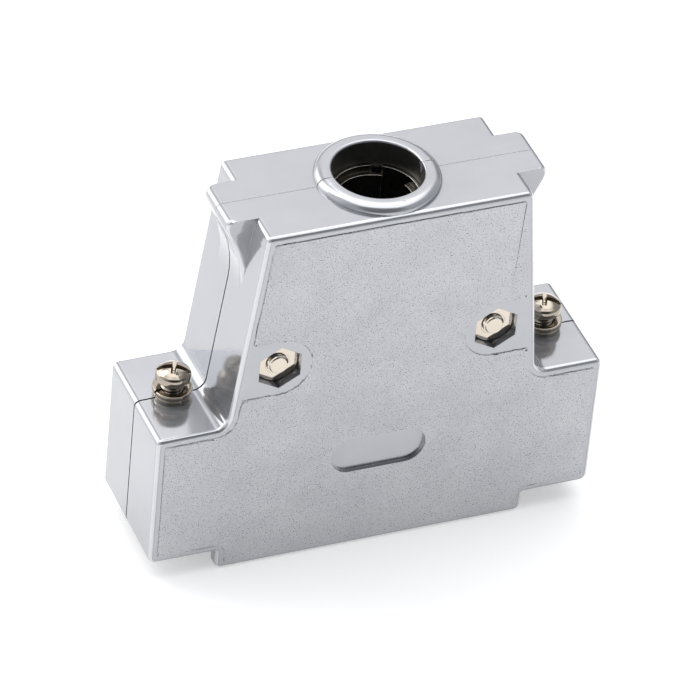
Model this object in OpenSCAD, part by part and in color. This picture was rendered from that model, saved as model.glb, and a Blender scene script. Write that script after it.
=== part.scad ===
// Two-part metal hood for a 25-way D-sub cable connector, lying in its own frame:
// X across the jackscrews, Y through the two shells (front shell on -Y), Z up along the cable.
// The origin is the middle of the face that the foot stands on. Millimetres.

/* [Hood] */
// Width over the two ears
hood_w = 56.3; // [55.2:0.1:60]
// Thickness over the smooth borders of both shells
hood_t = 15.8; // [15.4:0.1:18]
// Height of the flat top above the foot
hood_h = 48.6; // [47.5:0.1:56]
// Height of the shoulders that carry the jackscrews
shoulder_z = 21.4; // [20.5:0.1:24]
// Height of the underside of the ears
ear_z = 2.66; // [2:0.01:3.2]
// Width of the body where it leaves the shoulders
body_low_w = 39; // [38.6:0.1:40]
// Width of the body at the flat top
body_top_w = 32.9; // [31.9:0.1:35]
// Width of the foot between the ears, which is also the width of the connector's mouth
foot_w = 39.3; // [39.1:0.1:39.9]
// Thickness of the side, front and back walls
wall = 1.5; // [1.1:0.05:1.6]
// Thickness of the floor of each ear
ear_floor = 1.24; // [0.9:0.02:1.4]
// Rounding where the front and back faces meet the sides
edge_r = 0.55; // [0.3:0.05:0.6]
// Rounding of the outline's outer corners
corner_r = 0.8; // [0.8:0.05:1]
// Rounding of the inner corner between shoulder and body
shoulder_r = 1.7; // [0.8:0.1:2.2]
// Draft of the shoulders and of the ears' undersides, as their fall or rise over the width of an ear
draft = 0.05; // [0.02:0.01:0.12]
// Gap between the shells along the outer edge of the parting line
seam = 0.16; // [0.08:0.02:0.3]
// Depth of that gap
seam_depth = 0.5; // [0.2:0.05:0.7]

/* [Flared lip] */
// Thickness of the lip that flares out beside the cable entry
lip_t = 7.4; // [6:0.1:9]
// Width over both lips
lip_w = 39.8; // [38.4:0.1:40.4]
// Outward slope of the flare, in degrees from vertical
lip_angle = 24.7; // [20:0.1:28]
// Radius of the hollow sweep from the side wall into the flare
lip_sweep_r = 14; // [8:0.5:15]
// Radius of the turn from the flare to the lip's upright edge
lip_turn_r = 2.4; // [1:0.1:2.8]

/* [Front and back faces] */
// Width of the smooth border round the textured field
border = 1; // [0.8:0.05:1.3]
// Height of the textured field above the border
field_rise = 0.12; // [0.05:0.01:0.25]
// Radius of the smooth pad round each case screw
pad_r = 3.9; // [3.6:0.1:4.2]
// Length of the round-ended label recess
label_w = 12; // [9:0.5:16]
// Height of the round-ended label recess
label_h = 5; // [3.5:0.25:6]
// Depth of the label recess below the textured field
label_depth = 0.8; // [0.3:0.05:1]
// Height of the label recess above the foot
label_z = 13.9; // [12:0.1:16]

/* [Cable entry] */
// Radius of the cable entry
entry_r = 5.45; // [5.2:0.05:5.6]
// Radius of the raised collar at its foot
collar_r = 7.5; // [7.3:0.05:7.65]
// Height of the raised collar above the flat top
collar_h = 1.05; // [0.9:0.05:1.5]
// Rounding of the collar's outer shoulder
collar_round = 0.75; // [0.4:0.05:0.85]
// Rounding of the collar's inner lip
entry_round = 0.25; // [0.1:0.05:0.35]
// Depth of the entry from the flat top to the ferrule chamber
entry_depth = 2.15; // [1.8:0.05:2.6]
// Height of the ferrule chamber
chamber_h = 5.6; // [5.2:0.1:6.5]
// Thickness of the ferrule strip
ferrule_t = 0.5; // [0.35:0.05:0.55]
// Height of the outer ferrule
ferrule_h = 4.95; // [4.4:0.05:5.05]
// Height that the inner ferrule's top lies below the outer one's
ferrule_step = 0.95; // [0.5:0.05:1.5]
// Radial play of the outer ferrule in its chamber
chamber_play = 0.15; // [0.1:0.01:0.2]
// Radial gap between the two ferrules
ferrule_gap = 0.05; // [0.03:0.01:0.1]
// Reach of the outer ferrule's turned-out foot
flange_reach = 0.5; // [0.3:0.05:0.6]

/* [Case screws] */
// Distance of the case screws from the middle
case_x = 13.55; // [12.8:0.05:13.6]
// Height of the case screws above the foot
case_z = 29.3; // [28:0.1:30.5]
// Thread diameter of the case screws
case_d = 2.6; // [2:0.1:3]
// Width of the case nuts across flats
nut_af = 5; // [4.5:0.1:5.2]
// Thickness of the case nuts
nut_t = 2; // [1.6:0.1:2.2]
// Depth of the nut's face below the front face
nut_sink = 1; // [0.8:0.05:1.1]
// Height of the screw's end above the nut's face
case_end_rise = 0.5; // [0.3:0.05:0.7]
// Bevel at the screw's end
case_end_bevel = 0.22; // [0.1:0.02:0.3]
// Head diameter of the case screws
case_head_d = 4.6; // [4.2:0.1:4.8]
// Head height of the case screws
case_head_h = 1.7; // [1.4:0.1:1.9]
// Depth of the head's top below the back face
case_head_sink = 0.5; // [0.3:0.05:0.9]

/* [Jackscrews] */
// Distance between the two jackscrews, the spacing of a 25-way connector
screw_pitch = 47.04; // [46.8:0.02:47.2]
// Thread diameter of the jackscrews
screw_d = 2.84; // [2.6:0.02:2.9]
// Diameter of the waist that the guide web traps
waist_d = 2.2; // [2:0.05:2.3]
// Length of the threaded tip below the waist
tip_l = 5; // [4.6:0.1:5.8]
// Length of the waist
waist_l = 11.4; // [10.8:0.1:12]
// Head diameter of the jackscrews
head_d = 4.2; // [3.8:0.05:4.6]
// Height of the upright side of the head
head_side_h = 0.85; // [0.6:0.05:1.1]
// Height of the head's dome above that side
head_dome_h = 0.9; // [0.6:0.05:1]
// Width of the driver slot
slot_w = 0.75; // [0.5:0.05:0.9]
// Depth of the driver slot
slot_depth = 0.8; // [0.5:0.05:1]
// Length of the cross recess
cross_l = 2.5; // [2:0.1:3]
// Gap between the head and its lock washer, with the tip standing on the ground
head_gap = 1.1; // [0.8:0.05:1.3]
// Outer diameter of the lock washer
lock_d = 4.75; // [4.6:0.05:5]
// Thickness of the lock washer
lock_t = 0.7; // [0.5:0.05:0.8]
// Rise of the lock washer's free end
lock_rise = 0.16; // [0.08:0.02:0.3]
// Outer diameter of the flat washer
flat_d = 4.5; // [4.3:0.05:5]
// Thickness of the flat washer
flat_t = 0.6; // [0.4:0.05:0.7]
// Thickness of the guide web in each ear
guide_t = 1.2; // [1:0.1:1.4]
// Height of the guide web above the foot
guide_z = 12.2; // [12.1:0.1:12.6]
// Thickness of the inner ribs
rib_t = 1; // [0.8:0.1:1.2]
// Height of the groove that holds the connector's flange
flange_slot = 1.2; // [1:0.05:1.4]
// Radius of the hole in each ear's floor that lets the mating jack socket reach the flange
socket_r = 3.1; // [2.9:0.05:3.2]
// Radial clearance of the jackscrews in the shells
screw_gap = 0.1; // [0.05:0.01:0.15]

/* [Hidden] */
left = -1;
right = 1;
fine = 64;
over = 1;
arc_steps = 6;
edge_steps = 5;
lip_steps = 4;
lip_edge_r = 0.6;
half_t = hood_t / 2;
screw_x = screw_pitch / 2;
inner_t = half_t - wall;
slot_floor = ear_z + ear_floor;
slot_top = slot_floor + flange_slot;
screw_hole_r = screw_d / 2 + screw_gap;
waist_hole_r = waist_d / 2 + screw_gap;
case_hole_r = case_d / 2 + screw_gap;
foot_corner_r = 0.3;
bite = 0.2;
nut_gap = 0.08;
nut_corner_cut = 0.35;
nut_corner_drop = 0.2;
nut_mouth = 0.2;
thread_play = 0.03;
head_play = 0.25;
cross_w = 0.6;
cross_len = 2.5;
cross_depth = 1;
washer_gap = 0.04;
washer_play = 0.12;
lock_open = 6;
lock_open_at = 190;
lock_bevel = 0.1;
lock_steps = 44;
chamber_step = 0.25;
ferrule_head_gap = 0.1;
ledge_reach = 0.28;
tube_wall = 1.1;
outer_split = 14;
outer_split_at = 67;
inner_split = 38;
inner_split_at = 39;
nut_seat_y = -half_t + nut_sink + nut_t;
head_seat_y = half_t - case_head_sink - case_head_h;
chamber_top = hood_h - entry_depth;
chamber_floor = chamber_top - chamber_h;
chamber_r = entry_r + chamber_step;
outer_r = chamber_r - chamber_play;
inner_r = outer_r - ferrule_t - ferrule_gap;
flange_r = outer_r + flange_reach;
outer_top = chamber_top - ferrule_head_gap;
inner_top = outer_top - ferrule_step;
ledge_r = inner_r - ledge_reach;
tube_r = flange_r + tube_wall;
flat_z = shoulder_z + flat_t;
lock_z = flat_z + lock_t;
head_z = lock_z + lock_rise + head_gap;
rib_x = screw_x - screw_d / 2 - screw_gap - rib_t;

// Outlines are lists of corners [x, z, radius], counter-clockwise seen from the front.
function unit(v) = v / norm(v);
function xz(c) = [c[0], c[1]];
function turn(a) = a > 180 ? a - 360 : a <= -180 ? a + 360 : a;
function cross2(a, b) = a[0] * b[1] - a[1] * b[0];
function heading(c, i) = unit(xz(c[(i + 1) % len(c)]) - xz(c[i]));
function before(c, i) = (i + len(c) - 1) % len(c);

// The points of one rounded corner.
function corner_arc(c, i) =
    let (b = xz(c[i]), r = c[i][2])
    let (u = -heading(c, before(c, i)), w = heading(c, i))
    let (half = acos(u * w) / 2)
    let (centre = b + unit(u + w) * r / sin(half))
    let (from = b + u * r / tan(half) - centre, to = b + w * r / tan(half) - centre)
    let (a = atan2(from[1], from[0]), sweep = turn(atan2(to[1], to[0]) - a))
    [for (k = [0:arc_steps]) centre + r * [cos(a + sweep * k / arc_steps), sin(a + sweep * k / arc_steps)]];
function rounded(c) = [for (i = [0:len(c) - 1]) each corner_arc(c, i)];

// The same outline moved inwards by d: outer corners tighten and inner ones open.
function inset_corner(c, i, d) =
    let (e = heading(c, before(c, i)), f = heading(c, i))
    let (m = [-e[1], e[0]], n = [-f[1], f[0]])
    let (p = xz(c[i]) + (m + n) * d / (1 + m * n))
    [p[0], p[1], cross2(e, f) > 0 ? max(c[i][2] - d, 0.2) : c[i][2] + d];
function inset(c, d) = [for (i = [0:len(c) - 1]) inset_corner(c, i, d)];
function mirrored(c) = [for (i = [len(c) - 1:-1:0]) [-c[i][0], c[i][1], c[i][2]]];
function both_sides(c) = concat(c, mirrored(c));

side_slope = (body_low_w - body_top_w) / 2 / (hood_h - shoulder_z);
flare = tan(lip_angle);
turn_z = hood_h - corner_r - lip_turn_r * tan(lip_angle / 2) - 0.02;
sweep_z = (body_low_w / 2 + side_slope * shoulder_z - lip_w / 2 + flare * turn_z) / (flare + side_slope);
sweep_x = body_low_w / 2 - side_slope * (sweep_z - shoulder_z);
lip_reach = (lip_w - body_top_w) / 2;

shoulders = [
    [hood_w / 2, ear_z + draft, corner_r + 0.2],
    [hood_w / 2, shoulder_z - draft, corner_r],
    [body_low_w / 2, shoulder_z, shoulder_r],
];
foot = [[foot_w / 2, 0, corner_r], [foot_w / 2, ear_z, foot_corner_r]];
body_top = [[body_top_w / 2, hood_h, corner_r]];
flared_top = [
    [sweep_x, sweep_z, lip_sweep_r],
    [lip_w / 2, turn_z, lip_turn_r],
    [lip_w / 2, hood_h, corner_r],
];
outline = both_sides(concat(foot, shoulders, body_top));
lip_outline = both_sides(concat(foot, shoulders, flared_top));
casing = both_sides(concat(shoulders, body_top));

// The side wall's half width at a height above the shoulders.
function wall_x(z) = body_low_w / 2 - side_slope * (z - shoulder_z);
function fade(from, to, share) = [for (k = [0:arc_steps]) from[k] + (to[k] - from[k]) * share];

// Right half of a cross-section of the shell, from the foot up to the top. It is moved inwards by
// "in", and the lip beside the top is cut back by "cut".
function half_section(in, cut) =
    let (c = inset(outline, in), flared = [each corner_arc(lip_outline, 5), each corner_arc(lip_outline, 6)])
    concat(
        [for (i = [0:4]) each corner_arc(c, i)],
        [for (p = flared) [wall_x(p[1]) + max(0, p[0] - wall_x(p[1]) - cut) - in / cos(atan(side_slope)), p[1]]],
        fade(corner_arc(c, 5), corner_arc(lip_outline, 7), max(0, 1 - cut / lip_reach)));
function section(in, cut) =
    let (h = half_section(in, cut))
    concat(h, [for (i = [len(h) - 1:-1:0]) [-h[i][0], h[i][1]]]);

// The outer skin of one shell as a stack of sections, from the parting plane to the rounded face:
// each is [y, inset, lip cut-back]. The lip ends half way, with a rounded edge of its own.
module shell_skin() {
    stack = concat(
        [[0, 0, 0]],
        [for (k = [0:lip_steps]) let (a = 90 * k / lip_steps)
            [lip_t / 2 - lip_edge_r * (1 - sin(a)), 0, lip_edge_r * (1 - cos(a))]],
        [[lip_t / 2 + 0.02, 0, lip_w]],
        [for (k = [0:edge_steps]) let (a = 90 * k / edge_steps)
            [half_t - edge_r * (1 - sin(a)), edge_r * (1 - cos(a)), lip_w]]);
    loops = [for (s = stack) [for (p = section(s[1], s[2])) [p[0], -s[0], p[1]]]];
    n = len(loops[0]);
    last = (len(stack) - 1) * n;
    polyhedron(
        points = [for (l = loops) each l],
        faces = concat(
            [for (i = [0:n / 2 - 2]) [i, i + 1, n - 2 - i, n - 1 - i]],
            [for (k = [0:n:last - n], i = [0:n - 1]) [k + i, k + n + i, k + n + (i + 1) % n, k + (i + 1) % n]],
            [for (i = [0:n / 2 - 2]) [last + i, last + n - 1 - i, last + n - 2 - i, last + i + 1]]),
        convexity = 10);
}

// Stands a flat outline up in XZ and extrudes it from y0 to y1.
module upright(y0, y1) {
    translate([0, y1, 0]) rotate([90, 0, 0]) linear_extrude(y1 - y0) children();
}

module each_side() {
    for (side = [left, right]) scale_side(side) children();
}

module scale_side(side) {
    if (side == left) mirror([1, 0, 0]) children();
    else children();
}

// The raised collar and the tube below it that holds the ferrules, as one revolve.
module cable_neck() {
    flat_r = collar_r - collar_round;
    crest = hood_h + collar_h;
    rotate([0, 0, 180]) rotate_extrude(angle = 180, $fn = fine) {
        translate([ledge_r, chamber_floor - wall]) square([tube_r - ledge_r, hood_h - chamber_floor + wall / 2]);
        translate([ledge_r, hood_h - wall / 2]) square([collar_r - ledge_r, wall / 2 + collar_h - collar_round]);
        translate([entry_r, hood_h]) square([flat_r - entry_r, collar_h - entry_round]);
        translate([entry_r + entry_round, hood_h]) square([flat_r - entry_r - entry_round, collar_h]);
        translate([flat_r, crest - collar_round]) circle(collar_round);
        translate([entry_r + entry_round, crest - entry_round]) circle(entry_round);
    }
}

// What is cut out of both shells for the cable and its ferrules.
module cable_bore() {
    translate([0, 0, chamber_floor - wall - over])
        cylinder(r = ledge_r, h = wall + 2 * over, $fn = fine);
    translate([0, 0, chamber_floor]) cylinder(r = chamber_r, h = chamber_h, $fn = fine);
    translate([0, 0, outer_top - ferrule_h])
        cylinder(r = flange_r + ferrule_gap, h = ferrule_t + ferrule_head_gap, $fn = fine);
    translate([0, 0, chamber_top - over])
        cylinder(r = entry_r, h = entry_depth + collar_h + 2 * over, $fn = fine);
}

// The hollow inside one shell, with the connector's mouth below it.
module cavity() {
    upright(-inner_t, over) intersection() {
        polygon(rounded(inset(casing, wall)));
        translate([-hood_w / 2, slot_floor]) square([hood_w, hood_h]);
    }
    translate([-foot_w / 2 - over, -inner_t, -over]) cube([foot_w + 2 * over, inner_t + over, ear_z + over]);
    translate([-foot_w / 2, -inner_t, ear_z - 0.01]) cube([foot_w, inner_t + over, ear_floor + over]);
}

// Ribs, guide webs and flange steps inside the ears.
module ear_ribs() {
    each_side() {
        translate([rib_x, -inner_t - bite, slot_top])
            cube([rib_t, inner_t + bite, shoulder_z - wall - slot_top + bite]);
        translate([rib_x, -inner_t - bite, guide_z])
            cube([hood_w / 2 - wall + bite - rib_x, inner_t + bite, guide_t]);
        translate([hood_w / 2 - wall - rib_t, -inner_t - bite, slot_top])
            cube([rib_t + bite, inner_t + bite, 1.5 * rib_t]);
    }
}

// The smooth pads, one round each case screw, that run out to the sides.
module pads() {
    each_side() {
        translate([case_x, case_z]) circle(pad_r, $fn = fine);
        translate([case_x, case_z - pad_r]) square([hood_w, 2 * pad_r]);
    }
}

// The raised field that carries the texture, inside the smooth border and round the pads.
module textured_field() {
    upright(-half_t - field_rise, -inner_t - wall / 2) difference() {
        polygon(rounded(inset(outline, border)));
        pads();
    }
}

module seam_gap() {
    upright(-seam / 2, over) difference() {
        translate([-hood_w, -over]) square([2 * hood_w, hood_h + collar_h + 2 * over]);
        polygon(rounded(inset(lip_outline, seam_depth)));
    }
}

// What both shells share. The front shell is drawn, and the back shell turns it round.
module shell_half() {
    difference() {
        union() {
            difference() {
                shell_skin();
                cavity();
            }
            textured_field();
            cable_neck();
            ear_ribs();
            each_side() translate([case_x, 0, case_z]) rotate([90, 0, 0])
                cylinder(r = pad_r, h = inner_t + bite, $fn = fine);
        }
        cable_bore();
        seam_gap();
        each_side() translate([screw_x, 0, 0]) {
            cylinder(r = socket_r, h = slot_top, $fn = fine);
            cylinder(r = screw_hole_r, h = guide_z, $fn = fine);
            translate([0, 0, guide_z - over]) cylinder(r = waist_hole_r, h = guide_t + 2 * over, $fn = fine);
            translate([0, 0, guide_z + guide_t]) cylinder(r = screw_hole_r, h = shoulder_z, $fn = fine);
            translate([0, 0, shoulder_z]) cylinder(d = flat_d + 2 * washer_gap, h = hood_h, $fn = fine);
            translate([0, 0, flat_z]) cylinder(d = max(lock_d, head_d) + 4 * washer_gap, h = hood_h, $fn = fine);
        }
        each_side() translate([case_x, over, case_z]) rotate([90, 0, 0])
            cylinder(r = case_hole_r, h = hood_t, $fn = fine);
    }
}

module front_shell() {
    color("silver") difference() {
        shell_half();
        each_side() translate([case_x, 0, case_z]) upright(-half_t - over, nut_seat_y)
            rotate(30) circle(d = (nut_af + 2 * nut_gap) / cos(30), $fn = 6);
        translate([0, 0, label_z]) upright(-half_t - over, -half_t - field_rise + label_depth) {
            square([label_w - label_h, label_h], center = true);
            each_side() translate([(label_w - label_h) / 2, 0]) circle(d = label_h, $fn = fine);
        }
    }
}

module back_shell() {
    color("silver") difference() {
        rotate([0, 0, 180]) shell_half();
        each_side() translate([case_x, half_t + over, case_z]) rotate([90, 0, 0])
            cylinder(d = case_head_d + 2 * head_play, h = half_t + over - head_seat_y, $fn = fine);
    }
}

// Pan head screw put in from the back: head at the back, thread through the nut.
module case_screw(side) {
    rod_l = head_seat_y + half_t - nut_sink + case_end_rise;
    color("gainsboro") translate([side * case_x, head_seat_y, case_z]) rotate([-90, 0, 0]) difference() {
        union() {
            translate([0, 0, -rod_l]) cylinder(d1 = case_d - 2 * case_end_bevel, d2 = case_d, h = case_end_bevel, $fn = fine);
            translate([0, 0, case_end_bevel - rod_l]) cylinder(d = case_d, h = rod_l - case_end_bevel, $fn = fine);
            cylinder(d = case_head_d, h = case_head_h / 2, $fn = fine);
            intersection() {
                cylinder(d = case_head_d, h = case_head_h, $fn = fine);
                translate([0, 0, case_head_h - case_head_d]) sphere(r = case_head_d, $fn = fine);
            }
        }
        for (turned = [0, 90]) rotate(turned)
            translate([-cross_len / 2, -cross_w / 2, case_head_h - cross_depth])
                cube([cross_len, cross_w, cross_depth + over]);
    }
}

// Hexagon nut with its corners turned off at both faces.
module case_nut(side) {
    corner = nut_af / cos(30) / 2;
    hole_r = case_d / 2 + thread_play;
    color("gainsboro") translate([side * case_x, nut_seat_y, case_z]) rotate([90, 0, 0]) difference() {
        intersection() {
            rotate(30) cylinder(r = corner, h = nut_t, $fn = 6);
            rotate_extrude($fn = fine) polygon([
                [0, 0], [corner - nut_corner_cut, 0], [corner, nut_corner_drop],
                [corner, nut_t - nut_corner_drop], [corner - nut_corner_cut, nut_t], [0, nut_t]]);
        }
        translate([0, 0, -over]) cylinder(r = hole_r, h = nut_t + 2 * over, $fn = fine);
        translate([0, 0, nut_t - nut_mouth]) cylinder(r1 = hole_r, r2 = hole_r + nut_mouth, h = nut_mouth, $fn = fine);
    }
}

// Waisted captive screw: the guide webs trap its waist, so it lifts and drops but can't fall out.
module jackscrew(side) {
    dome_r = (head_dome_h * head_dome_h + head_d * head_d / 4) / 2 / head_dome_h;
    color("lightyellow") translate([side * screw_x, 0, 0]) difference() {
        union() {
            cylinder(d = screw_d, h = tip_l, $fn = fine);
            translate([0, 0, tip_l]) cylinder(d = waist_d, h = waist_l, $fn = fine);
            translate([0, 0, tip_l + waist_l]) cylinder(d = screw_d, h = head_z - tip_l - waist_l, $fn = fine);
            translate([0, 0, head_z]) cylinder(d = head_d, h = head_side_h, $fn = fine);
            intersection() {
                translate([0, 0, head_z]) cylinder(d = head_d, h = head_side_h + head_dome_h, $fn = fine);
                translate([0, 0, head_z + head_side_h + head_dome_h - dome_r]) sphere(r = dome_r, $fn = fine);
            }
        }
        translate([0, 0, head_z + head_side_h + head_dome_h]) {
            translate([-head_d, -slot_w / 2, -slot_depth]) cube([2 * head_d, slot_w, head_d]);
            translate([-slot_w / 2, -cross_l / 2, -1.2 * slot_depth]) cube([slot_w, cross_l, head_d]);
        }
    }
}

// Split spring washer: one turn of a chamfered strip that climbs from its lower end to its free end.
module lock_washer(side) {
    hole_r = screw_d / 2 + washer_play;
    rim_r = lock_d / 2;
    section = [
        [hole_r, lock_bevel], [hole_r + lock_bevel, 0], [rim_r - lock_bevel, 0], [rim_r, lock_bevel],
        [rim_r, lock_t - lock_bevel], [rim_r - lock_bevel, lock_t],
        [hole_r + lock_bevel, lock_t], [hole_r, lock_t - lock_bevel],
    ];
    n = len(section);
    turn_by = 360 - lock_open;
    color("lightyellow") translate([side * screw_x, 0, flat_z]) rotate([0, 0, lock_open_at + lock_open / 2]) polyhedron(
        points = [for (k = [0:lock_steps], p = section)
            let (a = turn_by * k / lock_steps + (p[1] / lock_t - 0.5) * lock_open)
            [p[0] * cos(a), p[0] * sin(a), p[1] + lock_rise * k / lock_steps]],
        faces = concat(
            [[for (i = [0:n - 1]) i]],
            [for (k = [0:lock_steps - 1], i = [0:n - 1])
                [k * n + i, (k + 1) * n + i, (k + 1) * n + (i + 1) % n, k * n + (i + 1) % n]],
            [[for (i = [n - 1:-1:0]) lock_steps * n + i]]),
        convexity = 4);
}

module flat_washer(side) {
    color("lightyellow") translate([side * screw_x, 0, shoulder_z]) rotate_extrude($fn = fine) {
        translate([screw_d / 2 + washer_play, 0]) square([(flat_d - screw_d) / 2 - washer_play - flat_t / 4, flat_t]);
        translate([flat_d / 2 - flat_t / 4, flat_t / 4]) square([flat_t / 4, flat_t / 2]);
        for (z = [flat_t / 4, flat_t * 3 / 4]) translate([flat_d / 2 - flat_t / 4, z]) circle(flat_t / 4);
    }
}

// Rolled strip with a turned-out foot that sits in the groove round the chamber.
module outer_ferrule() {
    color("lightyellow") translate([0, 0, outer_top - ferrule_h])
        rotate([0, 0, outer_split_at + outer_split / 2]) rotate_extrude(angle = 360 - outer_split, $fn = fine) {
            translate([outer_r - ferrule_t, 0]) square([ferrule_t, ferrule_h]);
            translate([outer_r - ferrule_t, 0]) square([flange_r - outer_r + ferrule_t, ferrule_t]);
        }
}

// Open rolled ring nested in the outer ferrule, standing on the ledge below it.
module inner_ferrule() {
    color("lightyellow") translate([0, 0, chamber_floor])
        rotate([0, 0, inner_split_at + inner_split / 2]) rotate_extrude(angle = 360 - inner_split, $fn = fine)
            translate([inner_r - ferrule_t, 0]) square([ferrule_t, inner_top - chamber_floor]);
}

front_shell();
back_shell();
case_screw(left);  // left_case_screw
case_screw(right);  // right_case_screw
case_nut(left);  // left_case_nut
case_nut(right);  // right_case_nut
jackscrew(left);  // left_jackscrew
jackscrew(right);  // right_jackscrew
lock_washer(left);  // left_lock_washer
lock_washer(right);  // right_lock_washer
flat_washer(left);  // left_flat_washer
flat_washer(right);  // right_flat_washer
outer_ferrule();
inner_ferrule();
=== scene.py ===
"""Looks of the two-part hood: moulded shells, threaded screws, nuts, washers, ferrules and a studio.

Forms are written in millimetres and MM turns them into Blender's metres. Depth in a shell is the
distance from the parting plane.
"""
import math

import bmesh
import bpy
from mathutils import Matrix, Vector, noise


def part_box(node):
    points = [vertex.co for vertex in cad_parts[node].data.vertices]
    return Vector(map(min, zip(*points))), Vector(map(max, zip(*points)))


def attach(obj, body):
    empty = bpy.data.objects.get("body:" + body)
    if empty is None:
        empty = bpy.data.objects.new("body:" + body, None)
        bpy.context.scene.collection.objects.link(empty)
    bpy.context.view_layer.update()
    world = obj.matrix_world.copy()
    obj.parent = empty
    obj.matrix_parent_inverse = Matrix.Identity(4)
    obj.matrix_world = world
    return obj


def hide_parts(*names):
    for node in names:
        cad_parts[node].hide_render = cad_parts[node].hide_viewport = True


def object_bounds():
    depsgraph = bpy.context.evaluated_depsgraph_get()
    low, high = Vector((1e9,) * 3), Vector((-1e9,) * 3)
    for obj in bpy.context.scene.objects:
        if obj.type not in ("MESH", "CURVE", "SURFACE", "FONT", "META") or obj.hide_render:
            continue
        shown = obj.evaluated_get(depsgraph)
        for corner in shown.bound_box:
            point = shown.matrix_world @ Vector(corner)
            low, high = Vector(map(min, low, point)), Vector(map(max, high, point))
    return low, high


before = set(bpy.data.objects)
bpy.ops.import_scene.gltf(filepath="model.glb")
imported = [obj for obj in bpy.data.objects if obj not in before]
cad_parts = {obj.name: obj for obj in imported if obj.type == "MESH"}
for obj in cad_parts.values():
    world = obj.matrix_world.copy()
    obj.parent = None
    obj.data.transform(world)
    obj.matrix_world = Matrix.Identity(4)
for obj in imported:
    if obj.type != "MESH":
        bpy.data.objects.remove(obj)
CAD_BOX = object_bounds()
MM = 0.001
TAU = 2 * math.pi
WELD = 0.0002 * MM


# ---------------------------------------------------------------- helpers

def link(obj):
    bpy.context.scene.collection.objects.link(obj)
    return obj


def to_object(name, bm, *materials):
    mesh = bpy.data.meshes.new(name)
    bm.to_mesh(mesh)
    bm.free()
    for m in materials:
        mesh.materials.append(m)
    return link(bpy.data.objects.new(name, mesh))


def welded_copy(node, name):
    """The mesh of a CAD node under a new name, and an editable form of it with its points welded."""
    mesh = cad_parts[node].data.copy()
    mesh.name = name
    mesh.materials.clear()
    bm = bmesh.new()
    bm.from_mesh(mesh)
    bmesh.ops.remove_doubles(bm, verts=bm.verts, dist=WELD)
    return mesh, bm


def back_to_object(name, mesh, bm):
    """Puts bm into mesh, drops the CAD normals and makes the object."""
    bm.to_mesh(mesh)
    bm.free()
    if mesh.has_custom_normals:
        mesh.attributes.remove(mesh.attributes["custom_normal"])
    return link(bpy.data.objects.new(name, mesh))


def smooth(obj, angle=32):
    """Smooth shading with sharp edges above an angle, and normals led by the large faces."""
    obj.data.polygons.foreach_set("use_smooth", [True] * len(obj.data.polygons))
    obj.data.set_sharp_from_angle(angle=math.radians(angle))
    m = obj.modifiers.new("weighted", "WEIGHTED_NORMAL")
    m.mode, m.weight, m.keep_sharp = "FACE_AREA", 90, True
    return obj


def bake(obj):
    """Turns the modifiers of obj into its mesh."""
    dg = bpy.context.evaluated_depsgraph_get()
    mesh = bpy.data.meshes.new_from_object(obj.evaluated_get(dg))
    obj.modifiers.clear()
    obj.data = mesh
    return obj


def around(r, z, steps):
    """The places of a ring of radius r at height z, as a list."""
    return [(r * MM * math.cos(TAU * k / steps), r * MM * math.sin(TAU * k / steps), z * MM)
            for k in range(steps)]


def lathe(bm, profile, steps=96):
    """Revolves [(r, z), ...] about Z. A point with r 0 closes the end."""
    rings = [[bm.verts.new(p) for p in around(r, z, steps if r > 0 else 1)] for r, z in profile]
    for a, b in zip(rings, rings[1:]):
        for k in range(steps):
            n = (k + 1) % steps
            corners = [a[k % len(a)], a[n % len(a)], b[n % len(b)], b[k % len(b)]]
            unique = [v for i, v in enumerate(corners) if v not in corners[:i]]
            if len(unique) > 2:
                bm.faces.new(unique)
    return bm


def arc(cx, cz, r, a0, a1, steps=6):
    """Points (r, z) on a circle about (cx, cz), from angle a0 to a1 in degrees."""
    turns = [math.radians(a0 + (a1 - a0) * k / steps) for k in range(steps + 1)]
    return [(cx + r * math.cos(a), cz + r * math.sin(a)) for a in turns]


def dome(top, r, spread, steps=10):
    """Points (r, z) of a dome of radius r below top, from spread degrees up to the middle."""
    turns = [math.radians(spread * (1 - k / steps)) for k in range(steps)]
    return [(r * math.sin(a), top - r + r * math.cos(a)) for a in turns] + [(0, top)]


# One turn of a thread: how far along the pitch, and how deep as a part of the depth
THREAD_FORM = ((0.0, 1), (0.1, 1), (0.42, 0), (0.58, 0), (0.9, 1))


def thread(bm, z0, z1, r, depth, pitch, steps=72):
    """Helical thread surface from z0 to z1 with crest radius r."""
    n = len(THREAD_FORM)
    rows = []
    for t in range(int(math.ceil((z1 - z0) / pitch)) + 2):
        for u, part in THREAD_FORM:
            row = []
            for k, (x, y, _) in enumerate(around(r - depth * part, 0, steps)):
                z = z0 + (t - 1 + u + k / steps) * pitch
                row.append(bm.verts.new((x, y, min(max(z, z0), z1) * MM)))
            rows.append(row)
    for j in range(len(rows) - 1):
        for k in range(steps - 1):
            bm.faces.new((rows[j][k], rows[j][k + 1], rows[j + 1][k + 1], rows[j + 1][k]))
        if j + n + 1 < len(rows):
            bm.faces.new((rows[j][-1], rows[j + n][0], rows[j + n + 1][0], rows[j + 1][-1]))
    bmesh.ops.remove_doubles(bm, verts=bm.verts, dist=WELD / 2)
    bmesh.ops.dissolve_degenerate(bm, edges=bm.edges, dist=WELD / 2)
    return bm


def close_ends(bm):
    """Closes the open ends of a thread with a disc."""
    bmesh.ops.holes_fill(bm, edges=[e for e in bm.edges if e.is_boundary], sides=0)
    bmesh.ops.recalc_face_normals(bm, faces=bm.faces)


def place(obj, at, turn=None):
    obj.data.transform(Matrix.Translation(at) @ (turn or Matrix.Identity(4)))
    return obj


def dress(obj, body, node=None):
    """Attaches obj to its body, and hides the CAD node that it stands for, if one is given."""
    if node:
        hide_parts(node)
    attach(obj, body)
    return obj


def middle(node):
    lo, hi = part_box(node)
    return (lo + hi) / 2


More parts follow.
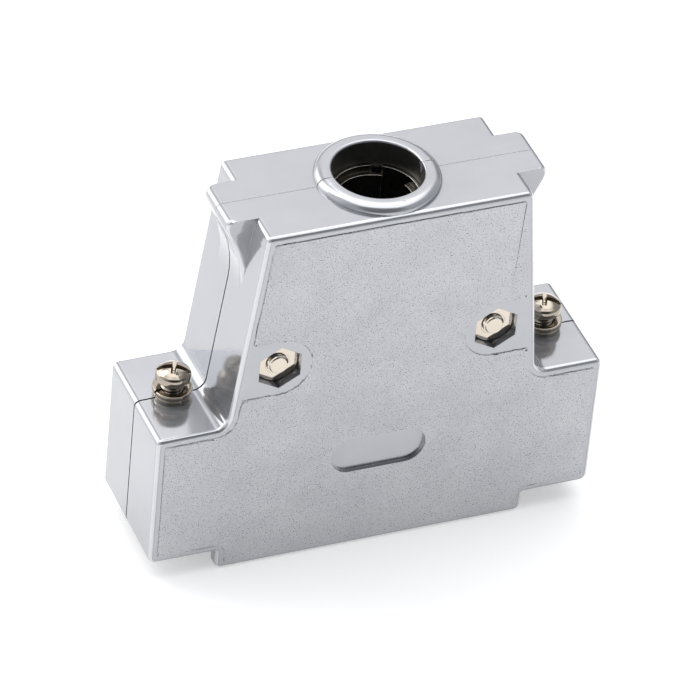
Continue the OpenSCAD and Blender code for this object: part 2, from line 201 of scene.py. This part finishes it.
def turned(angle, axis):
    return Matrix.Rotation(math.radians(angle), 4, axis)


# ---------------------------------------------------------------- materials

class Nodes:
    """Small helper to write a node tree."""

    def __init__(self, owner):
        owner.use_nodes = True
        self.tree = owner.node_tree
        self.tree.nodes.clear()

    def add(self, kind, _in=None, **props):
        n = self.tree.nodes.new(kind)
        for k, v in props.items():
            setattr(n, k, v)
        for k, v in (_in or {}).items():
            if isinstance(v, bpy.types.NodeSocket):
                self.tree.links.new(v, n.inputs[k])
            else:
                n.inputs[k].default_value = v
        return n

    def math(self, op, a, b=0.0):
        return self.add("ShaderNodeMath", {0: a, 1: b}, operation=op).outputs[0]

    def noise(self, vector, scale, detail=2.0, rough=0.5):
        given = {"Vector": vector, "Scale": scale, "Detail": detail, "Roughness": rough}
        return self.add("ShaderNodeTexNoise", given).outputs[0]

    def ramp(self, value, low, high, a=0.0, b=1.0, kind="LINEAR"):
        given = {"Value": value, "From Min": low, "From Max": high, "To Min": a, "To Max": b}
        return self.add("ShaderNodeMapRange", given, interpolation_type=kind).outputs[0]

    def mix(self, fac, a, b):
        return self.add("ShaderNodeMix", {0: fac, 6: a, 7: b}, data_type="RGBA").outputs[2]


def rgba(r, g, b):
    return (r, g, b, 1.0)


def grey(level):
    return rgba(level, level, level)


# Noise scales in 1/m: soft clouds of tone, patches of wear, and scratches drawn out along one way
CLOUD_SCALE, WEAR_SCALE = 140.0, 420.0
SCRATCH_SCALE, SCRATCH_TURN = (40.0, 2600.0, 900.0), (0.4, 0.9, 0.6)


def metal(name, light, dark, rough, rough_vary, bumps, speck=None, metallic=1.0, round_edges=0.0,
          scratches=0.0):
    """Procedural metal: two tones mixed by a soft noise, varied roughness, stacked bumps and specks.
    bumps is [(scale in 1/m, detail, distance in m, strength)], speck is (scale, low, high, tone)."""
    mat = bpy.data.materials.new(name)
    n = Nodes(mat)
    where = n.add("ShaderNodeTexCoord").outputs["Object"]
    cloud = n.ramp(n.noise(where, CLOUD_SCALE, 3.0, 0.6), 0.3, 0.7)
    colour = n.mix(cloud, rgba(*dark), rgba(*light))
    wear = n.noise(where, WEAR_SCALE, 4.0, 0.65)
    roughness = n.ramp(wear, 0.25, 0.75, rough - rough_vary, rough + rough_vary)
    normal = None
    if round_edges:
        normal = n.add("ShaderNodeBevel", {"Radius": round_edges}, samples=6).outputs[0]
    for scale, detail, distance, strength in bumps:
        given = {"Height": n.noise(where, scale, detail, 0.6), "Distance": distance, "Strength": strength}
        if normal:
            given["Normal"] = normal
        normal = n.add("ShaderNodeBump", given).outputs[0]
    if scratches:
        given = {"Vector": where, "Rotation": SCRATCH_TURN, "Scale": SCRATCH_SCALE}
        stretched = n.add("ShaderNodeMapping", given).outputs[0]
        lines = n.ramp(n.noise(stretched, 1.0), 0.68, 0.74)
        roughness = n.math("ADD", roughness, n.math("MULTIPLY", lines, scratches))
    if speck:
        scale, low, high, tone = speck
        dots = n.ramp(n.noise(where, scale), low, high)
        colour = n.mix(dots, colour, rgba(*tone))
    given = {"Base Color": colour, "Roughness": roughness, "Metallic": metallic}
    if normal:
        given["Normal"] = normal
    shader = n.add("ShaderNodeBsdfPrincipled", given)
    n.add("ShaderNodeOutputMaterial", {"Surface": shader.outputs[0]})
    return mat


# Bumps that several finishes share
FINE_GRAIN = (2400.0, 3.0, 0.006 * MM, 0.3)
CAST_GRAIN = (1800.0, 3.0, 0.02 * MM, 0.4)
SEAM_GRAIN = (3000.0, 2.0, 0.02 * MM, 0.3)
TURNED_GRAIN = (1500.0, 3.0, 0.01 * MM, 0.25)
STRIP_GRAIN = (2600.0, 3.0, 0.01 * MM, 0.4)

PLATED = metal("plated_smooth", (0.44, 0.448, 0.47), (0.415, 0.423, 0.445), 0.12, 0.03,
               [(260.0, 2.0, 0.06 * MM, 0.10), (5200.0, 3.0, 0.004 * MM, 0.25)],
               metallic=0.7, round_edges=0.06 * MM, scratches=0.06)
# A lighter copy of the plating, painted on the rounded upright edges as their highlight
EDGE_HIGHLIGHT = metal("plated_edge_highlight", (0.64, 0.65, 0.67), (0.61, 0.62, 0.64), 0.18, 0.04, [FINE_GRAIN],
             metallic=0.7, scratches=0.06)
BORDER = metal("plated_border", (0.438, 0.446, 0.466), (0.418, 0.426, 0.446), 0.24, 0.05, [FINE_GRAIN],
               round_edges=0.05 * MM, scratches=0.06)
# Eroded field; its dark specks are painted shade in the pits
FIELD = metal("plated_eroded", (0.485, 0.492, 0.51), (0.432, 0.44, 0.46), 0.27, 0.06,
              [(2600.0, 2.0, 0.08 * MM, 0.55), (5600.0, 3.0, 0.08 * MM, 0.9)],
              speck=(7000.0, 0.60, 0.67, (0.12, 0.128, 0.135)))
# A darker copy of the plating: painted shade on the walls of the hollow inside
INSIDE_SHADE = metal("plated_inside_shade", (0.30, 0.305, 0.32), (0.22, 0.225, 0.24), 0.36, 0.08, [CAST_GRAIN])
# A darker tone on the cable bore's walls: painted shade inside the bore
BORE_SHADE = metal("bore_painted_shade", (0.36, 0.36, 0.35), (0.25, 0.25, 0.245), 0.34, 0.08, [CAST_GRAIN])
GAP = metal("seam_shadow", (0.012, 0.012, 0.014), (0.006, 0.006, 0.008), 0.9, 0.05, [SEAM_GRAIN],
            metallic=0.0)
# A light copy of the seam's shadow material, painted into the narrow top seam so the line there reads pale
SEAM_TOP_LIT = metal("seam_top_painted_lit", (0.62, 0.62, 0.64), (0.52, 0.52, 0.54), 0.7, 0.1, [SEAM_GRAIN],
                 metallic=0.0)
NICKEL = metal("nickel_bright", (0.67, 0.605, 0.52), (0.62, 0.555, 0.475), 0.07, 0.03, [TURNED_GRAIN],
               speck=(9000.0, 0.72, 0.80, (0.30, 0.265, 0.22)), scratches=0.10)
SCREW = metal("nickel_screw", (0.38, 0.335, 0.28), (0.335, 0.295, 0.245), 0.10, 0.04, [TURNED_GRAIN],
              speck=(9000.0, 0.70, 0.80, (0.16, 0.14, 0.11)), scratches=0.12)
# Ferrule tones: a bright painted highlight for its edges and a dark painted shade for its faces
STRIP_HIGHLIGHT = metal("ferrule_strip", (0.90, 0.85, 0.77), (0.78, 0.73, 0.65), 0.20, 0.06, [STRIP_GRAIN],
              scratches=0.15)
STRIP_SHADE = metal("ferrule_shade", (0.15, 0.14, 0.125), (0.09, 0.085, 0.075), 0.30, 0.08, [STRIP_GRAIN],
                   scratches=0.15)


# ---------------------------------------------------------------- shells

FINISHES_AND_PAINTED_LIGHT = (PLATED, BORDER, FIELD, INSIDE_SHADE, GAP, BORE_SHADE, SEAM_TOP_LIT, EDGE_HIGHLIGHT)
TOUCH = 0.002 * MM
FLAT = 0.999

# Depths of the raised field, the smooth border and pads, and the hollow inside
FIELD_DEPTH = CAD_BOX[1].y
BORDER_DEPTH = FIELD_DEPTH - 0.12 * MM
HOLLOW_DEPTH = BORDER_DEPTH - 1.5 * MM
# Rooms of the hollow: half the width, lowest and highest point
ROOMS = ((26.7 * MM, 2.6 * MM, 20 * MM), (15 * MM, 19 * MM, 47 * MM))
# Cable bore
TOP = CAD_BOX[1].z
BORE_R, BORE_LOW, BORE_HIGH = 6.3 * MM, 38 * MM, TOP - 1.1 * MM
# Recess for a maker's mark, with its depth in the solid and here
LABEL_HALF_W, LABEL_LOW, LABEL_HIGH = 9 * MM, 4 * MM, 16 * MM
LABEL_DEPTH_CAD, LABEL_DEPTH = 0.8 * MM, 0.52 * MM
# Half the seam in the solid, and here on the sides and on the top
SEAM_CAD, SEAM_SIDE, SEAM_TOP = 0.08 * MM, 0.105 * MM, 0.028 * MM
SEAM_TOP_FROM = 46.9 * MM
# Painted highlight on the rounded upright edges: how far the face looks both ways, and how far out it lies
EDGE_SLANT, EDGE_FROM = 0.25, 10 * MM
# Rounding of the collar, as the radius it starts at, its width and its height: in the solid and here
COLLAR_R_CAD, COLLAR_ROUND_CAD = 6.75 * MM, 0.75 * MM
COLLAR_R, COLLAR_WIDE, COLLAR_HIGH = 6.3 * MM, 1.2 * MM, 0.97 * MM
COLLAR_SLACK = 0.01 * MM
# Frayed rim of the raised field: length of a bit, lean, fray, and the pull and reach at a corner
RIM_BIT, RIM_LEAN, RIM_FRAY, RIM_SCALE = 0.19 * MM, 0.075 * MM, 0.165 * MM, 5200.0
CORNER_PULL, CORNER_REACH, CORNER_COS = 0.24 * MM, 0.7 * MM, 0.77


def in_bore(c):
    return math.hypot(c.x, c.y) < BORE_R and BORE_LOW < c.z < BORE_HIGH


def in_room(c, side):
    deep = side * c.y < HOLLOW_DEPTH + 5 * TOUCH
    return deep and any(abs(c.x) < half and low < c.z < high for half, low, high in ROOMS)


def in_label(c):
    return abs(c.x) < LABEL_HALF_W and LABEL_LOW < c.z < LABEL_HIGH


def on_collar(c):
    """Whether c lies on the collar's rounding, as the solid has it."""
    out = math.hypot(c.x, c.y) - COLLAR_R_CAD
    near_top = TOP - c.z < COLLAR_ROUND_CAD + COLLAR_SLACK
    return near_top and -COLLAR_SLACK < out < COLLAR_ROUND_CAD + 10 * COLLAR_SLACK


def rounder(c):
    """Moves a point of the collar's rounding to the wider one."""
    r = math.hypot(c.x, c.y)
    turn = math.atan2(COLLAR_ROUND_CAD - (TOP - c.z), max(0.0, r - COLLAR_R_CAD))
    wide = (COLLAR_R + COLLAR_WIDE * math.cos(turn)) / r
    return Vector((c.x * wide, c.y * wide, TOP - COLLAR_HIGH * (1 - math.sin(turn))))


def finish_or_painted_light(c, n, side):
    """The finish of a face of a shell, from its middle c and its normal n. The hollow, the bore and the
    seam get painted shade, the upright edges a painted highlight and the top seam a painted lighter tone.
    """
    depth, flat = side * c.y, abs(n.y) > FLAT
    if depth > BORDER_DEPTH + TOUCH:
        return FIELD
    if flat and abs(depth - BORDER_DEPTH) < TOUCH:
        return BORDER
    if in_bore(c):
        return BORE_SHADE
    if depth < SEAM_CAD + TOUCH and (flat or depth < SEAM_CAD - TOUCH):
        # The top seam gets the painted light copy, the sides the painted seam shadow
        return SEAM_TOP_LIT if c.z > SEAM_TOP_FROM else GAP
    if flat and depth > HOLLOW_DEPTH + TOUCH and abs(c.x) < LABEL_HALF_W:
        return BORDER
    if in_room(c, side):
        return INSIDE_SHADE
    # Rounded upright edges away from the middle get the painted highlight
    if min(abs(n.x), abs(n.y)) > EDGE_SLANT and abs(c.x) > EDGE_FROM:
        return EDGE_HIGHLIGHT
    return PLATED


def field_rim(bm, side):
    """The edges round the raised field, as (edge, start, end, way towards the field)."""
    rim = []
    for e in bm.edges:
        flat = [f for f in e.link_faces if abs(f.normal.y) > FLAT]
        outside = any(abs(side * v.co.y - FIELD_DEPTH) > TOUCH or in_label(v.co) for v in e.verts)
        if len(e.link_faces) != 2 or len(flat) != 1 or outside:
            continue
        a, b = (v.co.copy() for v in e.verts)
        across = Vector((a.z - b.z, 0, b.x - a.x)).normalized()
        if across.dot(flat[0].calc_center_median() - a) < 0:
            across.negate()
        rim.append((e, a, b, across))
    return rim


def fray_rim(bm, side):
    """Splits the rim of the raised field into short bits, leans it inwards, rounds and frays it."""
    rim, inward = field_rim(bm, side), {}
    for e, _, _, across in rim:
        for v in e.verts:
            inward.setdefault(v, []).append(across)
    corners = [v.co.copy() for v, ways in inward.items()
               if len(ways) == 2 and ways[0].dot(ways[1]) < CORNER_COS]

    def shift(spot):
        near = min((spot - c).length for c in corners)
        pull = CORNER_PULL * max(0.0, 1 - near / CORNER_REACH) ** 2
        return RIM_LEAN + RIM_FRAY * noise.noise(spot * RIM_SCALE) + pull

    for e, a, b, across in rim:
        v, end = e.verts
        count = int((b - a).length / RIM_BIT)
        for k in range(1, count):
            new = bmesh.utils.edge_split(e, v, 0.5)[1]
            spot = a.lerp(b, k / count)
            new.co = spot + across * shift(spot)
            e, v = next(x for x in new.link_edges if end in x.verts), new
    for v, ways in inward.items():
        way = sum(ways, Vector()).normalized()
        v.co += way * shift(v.co) / max(0.5, way.dot(ways[0]))
    bmesh.ops.triangulate(bm, faces=[f for f in bm.faces if len(f.verts) > 4])


def reshape(bm, side):
    """Small forms that the looks need: a rounder collar, a shallower recess, an uneven seam."""
    for v in bm.verts:
        depth = side * v.co.y
        if on_collar(v.co):
            v.co = rounder(v.co)
        elif in_label(v.co) and abs(depth - FIELD_DEPTH + LABEL_DEPTH_CAD) < 20 * TOUCH:
            v.co.y = side * (FIELD_DEPTH - LABEL_DEPTH)
        elif abs(depth - SEAM_CAD) < 2 * TOUCH and not in_bore(v.co):
            v.co.y = side * (SEAM_TOP if v.co.z > SEAM_TOP_FROM else SEAM_SIDE)


def shell(node, side):
    """The moulded shell: the CAD shape shaded smooth, with a finish for each kind of surface, some of them
    painted shade and painted highlight.
    """
    mesh, bm = welded_copy(node, node + "_skin")
    for m in FINISHES_AND_PAINTED_LIGHT:
        mesh.materials.append(m)
    for f in bm.faces:
        f.material_index = FINISHES_AND_PAINTED_LIGHT.index(finish_or_painted_light(f.calc_center_median(), f.normal, side))
    fray_rim(bm, side)
    reshape(bm, side)
    obj = smooth(back_to_object(node + "_skin", mesh, bm), 28)
    dress(obj, "root", node)


shell("front_shell", -1)
shell("back_shell", 1)


# ---------------------------------------------------------------- screws, nuts and washers

SHANK_R = 1.42
WASHER_HOLE_R = 1.54
CASE_PITCH = 0.45
# Size of the floor of a head's recess against its cutter's top
SLOT_TAPER, CROSS_TAPER, CASE_TAPER = 0.45, 0.2, 0.75


def box_cutter(sx, sy, z0, z1, taper):
    """A box from z0 to z1, sx by sy at the top and smaller by taper at the floor."""
    bm = bmesh.new()
    quarters = ((-1, -1), (1, -1), (1, 1), (-1, 1))
    low = [bm.verts.new((x * sx * taper / 2 * MM, y * sy * taper / 2 * MM, z0 * MM)) for x, y in quarters]
    top = [bm.verts.new((x * sx / 2 * MM, y * sy / 2 * MM, z1 * MM)) for x, y in quarters]
    bm.faces.new(low[::-1])
    bm.faces.new(top)
    for k in range(4):
        n = (k + 1) % 4
        bm.faces.new((low[k], low[n], top[n], top[k]))
    return to_object("cutter", bm)


def cut_and_round(obj, cutters, width):
    """Cuts the given boxes out of obj and rounds the edges that they leave."""
    for c in cutters:
        m = obj.modifiers.new("cut", "BOOLEAN")
        m.operation, m.solver, m.object = "DIFFERENCE", "EXACT", c
    m = obj.modifiers.new("round", "BEVEL")
    m.width, m.segments, m.limit_method, m.angle_limit = width, 3, "ANGLE", math.radians(35)
    bake(obj)
    for c in cutters:
        bpy.data.objects.remove(c)
    return smooth(obj, 40)


def jackscrew_head(name, top, low, r):
    """Cheese head with a rounded foot and a dome, cut by a slot and a cross."""
    foot, dome_h = 0.12, 0.9
    dome_r = (dome_h ** 2 + r ** 2) / 2 / dome_h
    spread = math.degrees(math.asin(min(1, (r - 0.22) / dome_r)))
    side = [(0, low), (SHANK_R - 0.1, low), (r - foot, low), *arc(r - foot, low + foot, foot, -90, 0, 4),
            (r, low + 0.55), (r - 0.03, low + 0.86), (r - 0.11, low + 1.02)]
    bm = bmesh.new()
    lathe(bm, side + dome(top, dome_r, spread * 0.94))
    bmesh.ops.recalc_face_normals(bm, faces=bm.faces)
    head = to_object(name + "_jackscrew_head", bm, SCREW)
    slot = box_cutter(6.4 * r, 1.1, top - 0.85, top + 1, SLOT_TAPER)
    cross = box_cutter(1.05, 4.6, top - 0.8, top + 0.7, CROSS_TAPER)
    return cut_and_round(head, [slot, cross], 0.045 * MM)


def threaded_rod(name, z0, z1, r, depth, pitch, material):
    """A threaded length with closed ends."""
    bm = bmesh.new()
    thread(bm, z0, z1, r, depth, pitch)
    close_ends(bm)
    return smooth(to_object(name, bm, material), 30)


def jackscrew_waist(name, z0, z1):
    """The thin length that lets the screw slide in its guide."""
    r, edge_r, bite = 1.1, 1.02, 0.05
    low, high = z0 - bite, z1 + bite
    bm = bmesh.new()
    lathe(bm, [(0, low), (edge_r, low), (r, z0), (r, z1), (edge_r, high), (0, high)], 64)
    return smooth(to_object(name + "_jackscrew_waist", bm, SCREW))


def jackscrew(side, name):
    """Captive screw: head, threaded shank, waist and threaded tip."""
    node, body = f"{name}_jackscrew", f"{name}_screw"
    lo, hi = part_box(node)
    at = (side * abs(middle(node).x), 0, 0)
    top, head_r = hi.z / MM, (hi.x - lo.x) / MM / 2
    head_low, waist_low, waist_top = top - 1.75, 5.0, 16.4
    dress(place(jackscrew_head(name, top, head_low, head_r), at, turned(-25, "Z")), body)
    shank = threaded_rod(name + "_jackscrew_shank", waist_top, head_low + 0.02, SHANK_R, 0.19, 0.58, SCREW)
    dress(place(shank, at), body)
    dress(place(jackscrew_waist(name, waist_low, waist_top), at), body)
    tip = threaded_rod(name + "_jackscrew_tip", 0.0, waist_low, SHANK_R, 0.22, 0.635, SCREW)
    dress(place(tip, at), body, node)


def lock_washer(side, name):
    """Split spring washer: a rounded square section that climbs by rise over one turn."""
    node = f"{name}_lock_washer"
    low, rim_r, thick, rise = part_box(node)[0].z / MM, 2.375, 0.7, 0.16
    outer, inner = 0.16, 0.1
    split_at, split, steps = 190, 6, 120
    section = [*arc(rim_r - outer, thick - outer, outer, 0, 90, 4),
               *arc(WASHER_HOLE_R + inner, thick - inner, inner, 90, 180, 3),
               *arc(WASHER_HOLE_R + inner, inner, inner, 180, 270, 3),
               *arc(rim_r - outer, outer, outer, 270, 360, 4)]
    bm = bmesh.new()
    rows = []
    for k in range(steps + 1):
        row = []
        for r, z in section:
            lean = (z / thick - 0.5) * split
            a = math.radians(split_at + split / 2 + (360 - split) * k / steps + lean)
            height = low + z + rise * k / steps
            row.append(bm.verts.new((r * MM * math.cos(a), r * MM * math.sin(a), height * MM)))
        rows.append(row)
    for a, b in zip(rows, rows[1:]):
        for i in range(len(section)):
            j = (i + 1) % len(section)
            bm.faces.new((a[i], a[j], b[j], b[i]))
    bm.faces.new(rows[0])
    bm.faces.new(rows[-1][::-1])
    bmesh.ops.recalc_face_normals(bm, faces=bm.faces)
    ring = smooth(to_object(name + "_lock_washer_ring", bm, SCREW), 35)
    place(ring, (side * abs(middle(node).x), 0, 0))
    dress(ring, f"{name}_washer_turn", node)


def flat_washer(name):
    """Washer with rounded rims and a broken edge round the hole."""
    node = f"{name}_flat_washer"
    lo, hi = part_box(node)
    z0, z1, r, round_r, broken = lo.z / MM, hi.z / MM, (hi.x - lo.x) / MM / 2, 0.15, 0.06
    hole = WASHER_HOLE_R
    bm = bmesh.new()
    lathe(bm, [(hole, z0 + broken), (hole + broken, z0),
               *arc(r - round_r, z0 + round_r, round_r, -90, 0, 5),
               *arc(r - round_r, z1 - round_r, round_r, 0, 90, 5),
               (hole + broken, z1), (hole, z1 - broken), (hole, z0 + broken)])
    bmesh.ops.remove_doubles(bm, verts=bm.verts, dist=WELD / 20)
    bmesh.ops.recalc_face_normals(bm, faces=bm.faces)
    ring = smooth(to_object(name + "_flat_washer_ring", bm, SCREW), 40)
    place(ring, (middle(node).x, 0, 0))
    dress(ring, "root", node)


def case_nut(name):
    """Hexagon nut with turned-off corners and a threaded hole."""
    node = f"{name}_case_nut"
    lo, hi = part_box(node)
    half, thick = (hi.x - lo.x) / MM / 2, (hi.y - lo.y) / MM
    face_r, cone, steps = half * 0.985, math.tan(math.radians(30)), 144
    bm = bmesh.new()
    rows = []
    for k in range(steps):
        a = TAU * k / steps
        from_flat = (a + math.radians(30)) % math.radians(60) - math.radians(30)
        r = half / math.cos(from_flat)
        drop = max(0.0, (r - face_r)) * cone
        points = [(1.30, 0.0), (face_r, 0.0), (r, drop), (r, thick - drop), (face_r, thick), (1.48, thick)]
        rows.append([bm.verts.new((p * MM * math.cos(a), p * MM * math.sin(a), z * MM))
                     for p, z in points])
    for a, b in zip(rows, rows[1:] + rows[:1]):
        for i in range(len(a) - 1):
            bm.faces.new((a[i], b[i], b[i + 1], a[i + 1]))
    hexagon = smooth(to_object(name + "_case_nut_body", bm, NICKEL), 18)
    bm = bmesh.new()
    thread(bm, 0.0, thick, 1.50, 0.20, CASE_PITCH)
    bmesh.ops.reverse_faces(bm, faces=bm.faces)
    hole = smooth(to_object(name + "_case_nut_thread", bm, NICKEL), 30)
    for o in (hexagon, hole):
        place(o, (middle(node).x, hi.y, middle(node).z), turned(90, "X"))
    dress(hole, "root")
    dress(hexagon, "root", node)


def case_screw(name):
    """Machine screw from the back; its flat chamfered end shows inside the nut."""
    node = f"{name}_case_screw"
    lo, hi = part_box(node)
    length, head_r = (hi.y - lo.y) / MM, (hi.x - lo.x) / MM / 2
    base, edge = length - 1.7, 0.1
    end_r, chamfer_r, chamfer = 1.02, 1.14, 0.14
    bm = bmesh.new()
    thread(bm, chamfer - 0.02, base, 1.29, 0.16, CASE_PITCH)
    bmesh.ops.holes_fill(bm, edges=[e for e in bm.edges if e.is_boundary], sides=0)
    lathe(bm, [(0, 0.0), (end_r, 0.0), (chamfer_r, chamfer), (0, chamfer)], 72)
    bmesh.ops.recalc_face_normals(bm, faces=bm.faces)
    rod = smooth(to_object(name + "_case_screw_thread", bm, NICKEL), 30)
    dome_r = head_r * 2
    spread = math.degrees(math.asin((head_r - edge) / dome_r))
    bm = bmesh.new()
    lathe(bm, [(0, base), (head_r - edge, base), *arc(head_r - edge, base + edge, edge, -90, 0, 3),
               *dome(length, dome_r, spread)])
    bmesh.ops.recalc_face_normals(bm, faces=bm.faces)
    head = to_object(name + "_case_screw_head", bm, NICKEL)
    arms = [box_cutter(*size, length - 1, length + 1, CASE_TAPER) for size in ((2.5, 0.6), (0.6, 2.5))]
    cut_and_round(head, arms, 0.04 * MM)
    for o in (rod, head):
        place(o, (middle(node).x, lo.y, middle(node).z), turned(-90, "X"))
    dress(head, "root")
    dress(rod, "root", node)


for _side, _name in ((-1, "left"), (1, "right")):
    jackscrew(_side, _name)
    lock_washer(_side, _name)
    flat_washer(_name)
    case_nut(_name)
    case_screw(_name)


# ---------------------------------------------------------------- ferrules

def ferrule(node):
    """Pressed strip: faces painted dark as shade, edges painted bright as highlights."""
    mesh, bm = welded_copy(node, node + "_band")
    for m in (STRIP_SHADE, STRIP_HIGHLIGHT):
        mesh.materials.append(m)
    bmesh.ops.dissolve_limit(bm, angle_limit=math.radians(0.5), verts=bm.verts, edges=bm.edges)
    for f in bm.faces:
        f.material_index = 0
    obj = back_to_object(node + "_band", mesh, bm)
    # The bevelled edges get the painted highlight material
    m = obj.modifiers.new("highlight_edges", "BEVEL")
    m.width, m.segments, m.limit_method, m.angle_limit = 0.06 * MM, 2, "ANGLE", math.radians(40)
    m.material = 1
    smooth(bake(obj), 28)
    dress(obj, "root", node)


ferrule("outer_ferrule")
ferrule("inner_ferrule")


# ---------------------------------------------------------------- camera, floor, light

# The camera looks at CAMERA_AIM from this azimuth, elevation and roll, and this distance in millimetres
CAMERA_AZ, CAMERA_EL, CAMERA_ROLL = (math.radians(a) for a in (-25.088, 38.573, 5.811))
CAMERA_AIM, CAMERA_DISTANCE, CAMERA_LENS = Vector((-1.249, 0, 23.144)) * MM, 702.5, 306.7
# Zones of the studio's light: direction, inner and outer angle, and how much they add or take away
BASE_LEVEL = 0.6
BRIGHT_ZONES = (((0.1, 0.17, 0.98), 22, 43, 2.0), ((-0.75, 0.62, 0.30), 28, 58, 0.5),
                ((-0.60, 0.70, 0.33), 12, 30, 2.0), ((0.33, 0.71, 0.62), 14, 34, 0.70))
DARK_ZONES = (((-0.15, -0.76, 0.63), 20, 42, 0.86), ((0.65, 0.70, 0.15), 12, 24, 0.55),
              ((-0.15, 0.72, 0.68), 8, 20, 0.35))
# Part of the floor's white that doesn't depend on the light
FLOOR_WHITE = 0.44


def camera():
    az, el, roll = CAMERA_AZ, CAMERA_EL, CAMERA_ROLL
    back = Vector((math.sin(az) * math.cos(el), -math.cos(az) * math.cos(el), math.sin(el)))
    right = Vector((math.cos(az), math.sin(az), 0))
    up = back.cross(right)
    x = math.cos(roll) * right + math.sin(roll) * up
    y = -math.sin(roll) * right + math.cos(roll) * up
    data = bpy.data.cameras.new("camera")
    data.sensor_width, data.lens = 36.0, CAMERA_LENS
    data.clip_start, data.clip_end = 0.01, 20
    obj = link(bpy.data.objects.new("camera", data))
    turn = Matrix((x, y, back)).transposed().to_4x4()
    obj.matrix_world = Matrix.Translation(CAMERA_AIM + back * CAMERA_DISTANCE * MM) @ turn
    bpy.context.scene.camera = obj
    bpy.context.scene.view_settings.view_transform = "Standard"


def world_light():
    """A bright studio with lighter and darker zones for the metal to mirror; white to the camera."""
    world = bpy.data.worlds.new("studio")
    bpy.context.scene.world = world
    n = Nodes(world)
    way = n.add("ShaderNodeTexCoord").outputs["Generated"]

    def zone(direction, inner, outer, strength):
        given = {0: way, 1: tuple(Vector(direction).normalized())}
        dot = n.add("ShaderNodeVectorMath", given, operation="DOT_PRODUCT").outputs["Value"]
        low, high = math.cos(math.radians(outer)), math.cos(math.radians(inner))
        return n.ramp(dot, low, high, 0.0, strength, "SMOOTHSTEP")

    level = BASE_LEVEL
    for z in BRIGHT_ZONES:
        level = n.math("ADD", zone(*z), level)
    for z in DARK_ZONES:
        level = n.math("MULTIPLY", level, n.math("SUBTRACT", 1.0, zone(*z)))
    tone = n.mix(n.ramp(level, 0.3, 1.2), rgba(0.88, 0.94, 1.0), rgba(0.99, 0.99, 1.0))
    light = n.add("ShaderNodeBackground", {"Color": tone, "Strength": level}).outputs[0]
    white = n.add("ShaderNodeBackground", {"Color": grey(1.0), "Strength": 1.0}).outputs[0]
    seen = n.add("ShaderNodeLightPath").outputs["Is Camera Ray"]
    out = n.add("ShaderNodeMixShader", {0: seen, 1: light, 2: white})
    n.add("ShaderNodeOutputWorld", {"Surface": out.outputs[0]})


def paper_floor():
    """White paper that keeps the object's shadow."""
    bm = bmesh.new()
    bmesh.ops.create_circle(bm, cap_ends=True, segments=64, radius=3.0)
    mat = bpy.data.materials.new("floor_paper")
    n = Nodes(mat)
    where = n.add("ShaderNodeTexCoord").outputs["Object"]
    tone = n.mix(n.noise(where, 90.0, 3.0), grey(0.68), grey(0.70))
    paper = n.add("ShaderNodeBsdfDiffuse", {"Color": tone}).outputs[0]
    path = n.add("ShaderNodeLightPath").outputs
    seen = n.math("ADD", path["Is Camera Ray"], path["Is Glossy Ray"])
    seen = n.math("MINIMUM", n.math("ADD", seen, path["Is Transmission Ray"]), 1.0)
    given = {"Color": grey(1.0), "Strength": n.math("MULTIPLY", seen, FLOOR_WHITE)}
    extra = n.add("ShaderNodeEmission", given).outputs[0]
    both = n.add("ShaderNodeAddShader", {0: paper, 1: extra})
    n.add("ShaderNodeOutputMaterial", {"Surface": both.outputs[0]})
    floor = to_object("floor", bm, mat)
    floor.location.z = CAD_BOX[0].z - 0.01 * MM


def lamp(name, at, size, power, aim):
    data = bpy.data.lights.new(name, "AREA")
    data.shape, data.size, data.energy = "DISK", size, power
    obj = link(bpy.data.objects.new(name, data))
    obj.location = at
    obj.rotation_mode = "QUATERNION"
    obj.rotation_quaternion = (Vector(aim) - Vector(at)).to_track_quat("-Z", "Y")


camera()
world_light()
paper_floor()
lamp("key", (-0.35, 0.35, 0.6), 0.35, 1.0, aim=(0, 0, 0.02))
